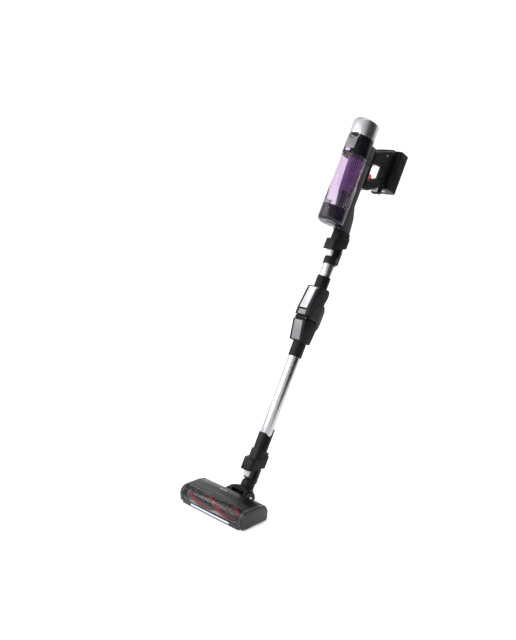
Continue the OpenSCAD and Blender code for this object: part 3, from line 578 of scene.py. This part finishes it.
SHROUD_FOOT_R, SHROUD_TOP_R = 15.2, 20.6
SHROUD_POINTS = 88  # round each ring, four to a bar and the gap beside it
# The last offset places the dark sheet of painted groove shade between the bars
BAR_OUT, BAR_GAP, GROOVE_SHADE_OUT = 1, -1.6, -0.4  # from the shroud's cone, in mm


def shroud_skin(name, offsets):
    """A skin round the cyclone's cone; its offsets from the cone repeat round each ring."""
    low, high = span("cyclone_shroud")
    middle = (low.y + high.y) / 2
    rings = []
    for share in (0, 0.5, 1):
        cone_r = SHROUD_FOOT_R + (SHROUD_TOP_R - SHROUD_FOOT_R) * share
        t = low.z + (high.z - low.z) * share
        ring = []
        for i in range(SHROUD_POINTS):
            a = 2 * math.pi * i / SHROUD_POINTS
            radius = cone_r + offsets[i % len(offsets)]
            ring.append(Vector((radius * math.cos(a), middle + radius * math.sin(a), t)))
        rings.append(ring)
    return rings_piece(name, rings, STICK)


# Upright bars, with a dark sheet between them: its dark purple is painted shade in the grooves
bars = shroud_skin("shroud_bars", (BAR_OUT, BAR_OUT, BAR_GAP, BAR_GAP))
finish_piece(bars, "cyclone_shroud", sharp=20)
finish_piece(shroud_skin("shroud_groove_shade", (GROOVE_SHADE_OUT,)), body="bin", slot="dark_purple")

# ---------------------------------------------------------------- floor head

ROLLER = Vector(JOINTS["roller_spin"]["pos_m"])
TUFT_ROOT_R = 13.5 * MM
TUFT_PITCH = 193 * MM  # along the roller, for one full turn of a row
TUFT_STEPS = 330
TUFT_MIDDLE = 0.72 * math.pi  # where the first row stands at mid-roller, from the rear over the top
TUFT_ROOT_SPREAD, TUFT_TIP_SPREAD = 0.26, 0.2  # half of the row's width, in radians


def tuft_row(start):
    """One row of nylon tufts that winds round the roller like a screw thread."""
    low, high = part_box("roller_bristles")
    tip_r = (high.z - low.z) / 2 - 0.1 * MM
    turns = (high.x - low.x) / TUFT_PITCH
    rings = []
    for i in range(TUFT_STEPS + 1):
        share = i / TUFT_STEPS
        a = start + TUFT_MIDDLE + 2 * math.pi * turns * (share - 0.5)
        x = low.x + (high.x - low.x) * share
        ragged_r = tip_r - (0.5 * MM if i % 3 == 0 else 0)
        outline = (
            (TUFT_ROOT_R, TUFT_ROOT_SPREAD), (ragged_r, TUFT_TIP_SPREAD),
            (ragged_r, -TUFT_TIP_SPREAD), (TUFT_ROOT_R, -TUFT_ROOT_SPREAD),
        )
        rings.append([
            (x, ROLLER.y + radius * math.cos(a + spread), ROLLER.z + radius * math.sin(a + spread))
            for radius, spread in outline
        ])
    return rings_piece("tuft_row", rings, None)


finish_piece(tuft_row(0), "roller_bristles", slot="bristle", sharp=60)
finish_piece(tuft_row(math.pi), body="roller", slot="bristle", sharp=60)

# Trim on the head's top, in millimetres: ridges from side to side, and a short bright bar
WORLD_MM = Matrix.Diagonal((MM, MM, MM, 1))
TOP_RIDGES = 4
TOP_RIDGE_Y = -618  # the front one
TOP_RIDGE_STEP = 4.2
TOP_RIDGE_HALF = 0.8
shell_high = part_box("head_housing")[1] / MM
wall_x = shell_high.x - 4
trim_foot = ROLLER.z / MM + 23.5
for number in range(TOP_RIDGES):
    y = TOP_RIDGE_Y + TOP_RIDGE_STEP * number
    corners = (
        (-wall_x, y - TOP_RIDGE_HALF, trim_foot), (wall_x, y + TOP_RIDGE_HALF, shell_high.z)
    )
    strip(f"top_ridge_{number}", "head", "black_gloss", corners, 0.3, WORLD_MM)

bar_corners = ((-33, -600.5, trim_foot), (-6, -597.5, shell_high.z))
strip("top_badge_bar", "head", "silver", bar_corners, 0.5, WORLD_MM)

# ---------------------------------------------------------------- stage and light

FLOOR_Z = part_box("sole_plate")[0].z
STUDIO_Y = -0.3  # the studio stands round this point, under the middle of the stick
FLAT_R, BEND_R, WALL_TOP = 3.2, 1.6, 4.5
FLOOR_GAP = 0.0005
CENTRE_R = 0.0001  # the floor's innermost ring, too small to see


def make_stage():
    """A pale floor that curves up into a wall all round, like a studio's bowl."""
    profile = [(CENTRE_R, 0), (FLAT_R, 0)]
    for degrees in range(10, 100, 10):
        a = math.radians(degrees)
        profile.append((FLAT_R + BEND_R * math.sin(a), BEND_R - BEND_R * math.cos(a)))
    profile.append((FLAT_R + BEND_R, WALL_TOP))
    rings = [circle_ring(0, STUDIO_Y, FLOOR_Z - FLOOR_GAP + z, r, 64) for r, z in profile]
    bowl = rings_piece("studio_floor", rings, None, caps=False)
    mat, tree, bsdf = shader("studio_paint")
    bsdf.inputs["Base Color"].default_value = (0.9, 0.9, 0.9, 1)
    bsdf.inputs["Roughness"].default_value = 0.7
    bsdf.inputs["Emission Color"].default_value = (1, 1, 1, 1)
    bsdf.inputs["Emission Strength"].default_value = 0.25
    bowl.data.materials.append(mat)
    shade_smooth(bowl)


make_stage()


def aim(azimuth, elevation):
    """A direction from the object, from its bearing about Z and its height, in degrees."""
    a, e = math.radians(azimuth), math.radians(elevation)
    return Vector((math.cos(a) * math.cos(e), math.sin(a) * math.cos(e), math.sin(e)))


LIGHTS_AIM = Vector((0, STUDIO_Y, -0.4))


def softbox(name, direction, distance, size, power):
    """A rectangular light that faces the middle of the stick; size in metres, power in watts."""
    data = bpy.data.lights.new(name, "AREA")
    data.shape = "RECTANGLE"
    data.size = size[0]
    data.size_y = size[1]
    data.energy = power
    light = bpy.data.objects.new(name, data)
    bpy.context.scene.collection.objects.link(light)
    light.location = LIGHTS_AIM + direction * distance
    light.rotation_euler = (LIGHTS_AIM - light.location).to_track_quat("-Z", "Y").to_euler()
    light.visible_camera = False


softbox("key", aim(-115, 31), 2.1, (2.6, 1.5), 54)
softbox("rear", aim(95, 35), 2.6, (1.4, 1.4), 26)
softbox("top", aim(-60, 86), 3.2, (2.5, 2.5), 26)


CARD_R = 1.5
CARD_LOW, CARD_HIGH = 0.01, 2.4  # above the floor


def make_black_card():
    """A curved dark card seen only in reflections: it keeps the right-hand sides deep black."""
    low, high = FLOOR_Z + CARD_LOW, FLOOR_Z + CARD_HIGH
    bm = bmesh.new()
    columns = []
    for degrees in range(-24, 62, 6):
        a = math.radians(degrees)
        x, y = CARD_R * math.cos(a), CARD_R * math.sin(a) + STUDIO_Y
        columns.append([bm.verts.new((x, y, z)) for z in (low, high)])
    for a, b in zip(columns, columns[1:]):
        bm.faces.new((a[0], b[0], b[1], a[1]))
    card = piece_from(bm, "black_card")
    mat, tree, bsdf = shader("black_felt")
    bsdf.inputs["Base Color"].default_value = (0.01, 0.01, 0.01, 1)
    bsdf.inputs["Roughness"].default_value = 1
    card.data.materials.append(mat)
    card.visible_camera = False
    card.visible_diffuse = False
    card.visible_shadow = False
    card.visible_transmission = False


make_black_card()

world = bpy.data.worlds.new("studio")
bpy.context.scene.world = world
world.use_nodes = True
world.node_tree.nodes["Background"].inputs["Color"].default_value = (1, 1, 1, 1)
world.node_tree.nodes["Background"].inputs["Strength"].default_value = 0.4
bpy.context.scene.view_settings.view_transform = "Standard"
